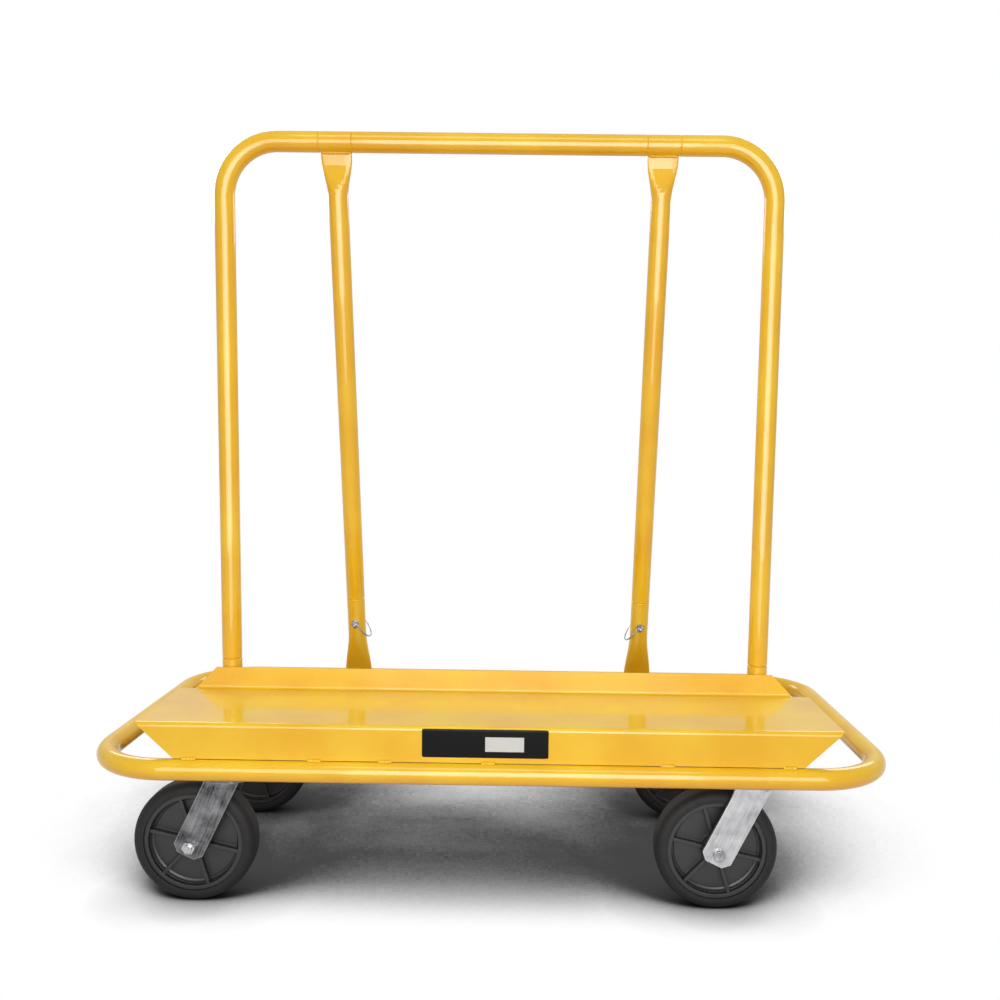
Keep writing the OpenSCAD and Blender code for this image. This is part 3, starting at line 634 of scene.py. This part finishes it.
# Rounded rectangle: rings of a superellipse, |x/w|^p + |z/h|^p = t^p, stacked from the flange out to the
# film's face, which leans back where the sheet begins to fold: R - sqrt(R^2 - (height above the flat)^2)
panelZ = deckBox[0].z + panel["rise"]
inward = np.linspace(1, 0, panel["rings"], endpoint=False)
t = np.concatenate([[1.0], inward, [panel["innerShare"]]])
lift = np.concatenate([[-panel["lift"]], np.full(len(t) - 1, panel["lift"])])
a = np.linspace(0, 2 * np.pi, panel["around"], endpoint=False)
power = 2 / panel["cornerPower"]
rimX = np.sign(np.cos(a)) * np.abs(np.cos(a)) ** power * panel["width"] / 2
rimZ = np.sign(np.sin(a)) * np.abs(np.sin(a)) ** power * panel["height"] / 2
z = panelZ + t[:, None] * rimZ
over = np.clip(z - deckBox[0].z - panel["flatHeight"], 0, None)
fold = panel["foldRadius"] - np.sqrt(panel["foldRadius"] ** 2 - over ** 2)
x = panel["centreX"] + t[:, None] * rimX
y = flangeY + fold - lift[:, None]
points = np.stack([x, y, z], -1).reshape(-1, 3)
i, j = np.meshgrid(np.arange(len(t) - 1), np.arange(len(a)), indexing="ij")
n = len(a)
k = (j + 1) % n
quads = np.stack([i * n + j, i * n + k, (i + 1) * n + k, (i + 1) * n + j], -1).reshape(-1, 4).tolist()
caps = [np.arange(n)[::-1].tolist(), ((len(t) - 1) * n + np.arange(n)).tolist()]
film = makePanelFilm(panel, (panel["centreX"], flangeY, panelZ))
addPiece("blank_panel", points, quads + caps, film, smooth=False)
print("panel placed")


# White floor with a painted shadow: the cart's soft shade lies a little behind it, as under a light from
# above and in front, and deepens where the wheels touch. It gives back a softer, warm share of the light
floorLook = {
    "halfSize": 12.0,
    "lightFrom": (0.0, -0.9, 0.44),
    "shadeReach": 0.62,
    "dark": (0.73, 0.06),
    "clear": (0.9, 1.0),
    "contactReach": 0.11,
    "contactPower": 1.6,
    "shadeSamples": 32,
    "contactSamples": 16,
    "bounce": "#BC8F68",
}


def makeFloor(s):
    material, tree = newMaterial("white studio floor")
    x, y, z = s["lightFrom"]
    lean = addNode(tree, "ShaderNodeCombineXYZ", {"X": x, "Y": y, "Z": z}).outputs["Vector"]
    # painted shadow: the floor's white is dimmed where the cart closes it in, seen leaning towards the front,
    # and again where the wheels touch
    shade = addNode(tree, "ShaderNodeAmbientOcclusion", {
        "Distance": s["shadeReach"], "Normal": lean}, samples=s["shadeSamples"]).outputs["AO"]
    shade = addNode(tree, "ShaderNodeMapRange", {
        "Value": shade, "From Min": s["dark"][0], "From Max": s["clear"][0],
        "To Min": s["dark"][1], "To Max": s["clear"][1]}).outputs["Result"]
    paintedContactShade = addNode(tree, "ShaderNodeAmbientOcclusion", {
        "Distance": s["contactReach"]}, samples=s["contactSamples"]).outputs["AO"]
    paintedContactShade = addNode(tree, "ShaderNodeMath", {
        0: paintedContactShade, 1: s["contactPower"]}, operation="POWER").outputs["Value"]
    tone = addNode(tree, "ShaderNodeMath", {0: shade, 1: paintedContactShade}, operation="MULTIPLY").outputs["Value"]
    seen = addNode(tree, "ShaderNodeEmission", {"Strength": tone}).outputs["Emission"]
    bounce = addNode(tree, "ShaderNodeBsdfDiffuse", {"Color": linear(s["bounce"])})
    rays = addNode(tree, "ShaderNodeLightPath").outputs
    direct = addNode(tree, "ShaderNodeMath", {
        0: rays["Is Camera Ray"], 1: rays["Is Glossy Ray"]}, operation="MAXIMUM").outputs["Value"]
    direct = addNode(tree, "ShaderNodeMath", {
        0: direct, 1: rays["Is Transmission Ray"]}, operation="MAXIMUM").outputs["Value"]
    mixed = addNode(tree, "ShaderNodeMixShader", {0: direct, 1: bounce.outputs["BSDF"], 2: seen})
    addNode(tree, "ShaderNodeOutputMaterial", {"Surface": mixed.outputs["Shader"]})
    return material


size = floorLook["halfSize"]
floorMesh = bpy.data.meshes.new("floor")
corners = [(-size, -size, 0), (size, -size, 0), (size, size, 0), (-size, size, 0)]
floorMesh.from_pydata(corners, [], [(0, 1, 2, 3)])
floorMesh.materials.append(makeFloor(floorLook))
floor = bpy.data.objects.new("floor", floorMesh)
bpy.context.collection.objects.link(floor)

# White surroundings: the camera sees plain white, gloss mirrors it a little dimmer, and the object is lit by
# a softer share of it
surroundings = {"ambient": 0.5, "gloss": 0.7, "seen": 1.0}
world = bpy.data.worlds.new("studio")
world.use_nodes = True
bpy.context.scene.world = world
tree = world.node_tree
tree.nodes.clear()
rays = addNode(tree, "ShaderNodeLightPath").outputs
mirrored = addNode(tree, "ShaderNodeMapRange", {
    "Value": rays["Is Glossy Ray"],
    "To Min": surroundings["ambient"], "To Max": surroundings["gloss"]}).outputs["Result"]
direct = addNode(tree, "ShaderNodeMath", {
    0: rays["Is Camera Ray"], 1: rays["Is Transmission Ray"]}, operation="MAXIMUM").outputs["Value"]
level = addNode(tree, "ShaderNodeMapRange", {
    "Value": direct, "To Min": mirrored, "To Max": surroundings["seen"]}).outputs["Result"]
background = addNode(tree, "ShaderNodeBackground", {"Color": (1, 1, 1, 1), "Strength": level})
addNode(tree, "ShaderNodeOutputWorld", {"Surface": background.outputs["Background"]})

# Softboxes: place, target, width and height in metres, and power in watts. The card is a white sheet behind
# the camera that only shows in gloss
softboxes = {
    "front": {
        "at": (0.05, -2.1, 0.86), "to": (0.05, 0, 0.86),
        "wide": 1.2, "high": 1.65, "watts": 21, "glossOnly": False},
    "top": {
        "at": (0, -1.3, 2.9), "to": (0, -0.1, 0.4),
        "wide": 1.6, "high": 0.7, "watts": 11, "glossOnly": False},
    "rear_left": {
        "at": (-1.7, 2.2, 2.2), "to": (0, 0, 0.6),
        "wide": 1.3, "high": 1.2, "watts": 22, "glossOnly": False},
    "rear_right": {
        "at": (1.7, 2.2, 2.2), "to": (0, 0, 0.6),
        "wide": 1.3, "high": 1.2, "watts": 22, "glossOnly": False},
    "card": {
        "at": (0.05, -2.3, 1.0), "to": (0.05, 0, 1.0),
        "wide": 2.8, "high": 1.4, "watts": 58, "glossOnly": True},
}


# Turns an object's -Z axis from one point to another, keeping its X axis level
def aim(start, end):
    back = np.array(start, float) - np.array(end, float)
    back /= np.linalg.norm(back)
    across = np.cross((0, 0, 1.0), back)
    across /= np.linalg.norm(across)
    up = np.cross(back, across)
    turned = np.eye(4)
    turned[:3, :3] = np.stack([across, up, back], 1)
    turned[:3, 3] = start
    return Matrix(turned.tolist())


for name, s in softboxes.items():
    lamp = bpy.data.lights.new(name, "AREA")
    lamp.shape = "RECTANGLE"
    lamp.size = s["wide"]
    lamp.size_y = s["high"]
    lamp.energy = s["watts"]
    lampObject = bpy.data.objects.new(name, lamp)
    bpy.context.collection.objects.link(lampObject)
    lampObject.matrix_world = aim(s["at"], s["to"])
    lampObject.visible_diffuse = not s["glossOnly"]

# Camera fitted to the photograph: place in metres, turns in degrees, and lens and optical centre in pixels of
# its frame
view = {
    "at": (0.0574, -1.8061, 0.7891),
    "pitch": -5.9,
    "yaw": 0.44,
    "roll": 0.75,
    "focalPx": 998.8,
    "centrePx": (520.9, 533.3),
    "framePx": 1000,
    "sensorMm": 36.0,
}
pitch, yaw, roll = (math.radians(view[k]) for k in ("pitch", "yaw", "roll"))
ahead = np.array((-math.sin(yaw) * math.cos(pitch), math.cos(yaw) * math.cos(pitch), math.sin(pitch)))
across = np.array((math.cos(yaw), math.sin(yaw), 0))
up = np.cross(across, ahead)
rolledAcross = across * math.cos(roll) + up * math.sin(roll)
rolledUp = up * math.cos(roll) - across * math.sin(roll)
turned = np.eye(4)
turned[:3, :3] = np.stack([rolledAcross, rolledUp, -ahead], 1)
turned[:3, 3] = view["at"]
camera = bpy.data.cameras.new("camera")
camera.sensor_width = view["sensorMm"]
camera.lens = view["focalPx"] / view["framePx"] * view["sensorMm"]
camera.shift_x = (view["framePx"] / 2 - view["centrePx"][0]) / view["framePx"]
camera.shift_y = (view["centrePx"][1] - view["framePx"] / 2) / view["framePx"]
cameraObject = bpy.data.objects.new("camera", camera)
bpy.context.collection.objects.link(cameraObject)
cameraObject.matrix_world = Matrix(turned.tolist())
bpy.context.scene.camera = cameraObject
bpy.context.scene.view_settings.view_transform = "Standard"
print("floor, lights and camera set")
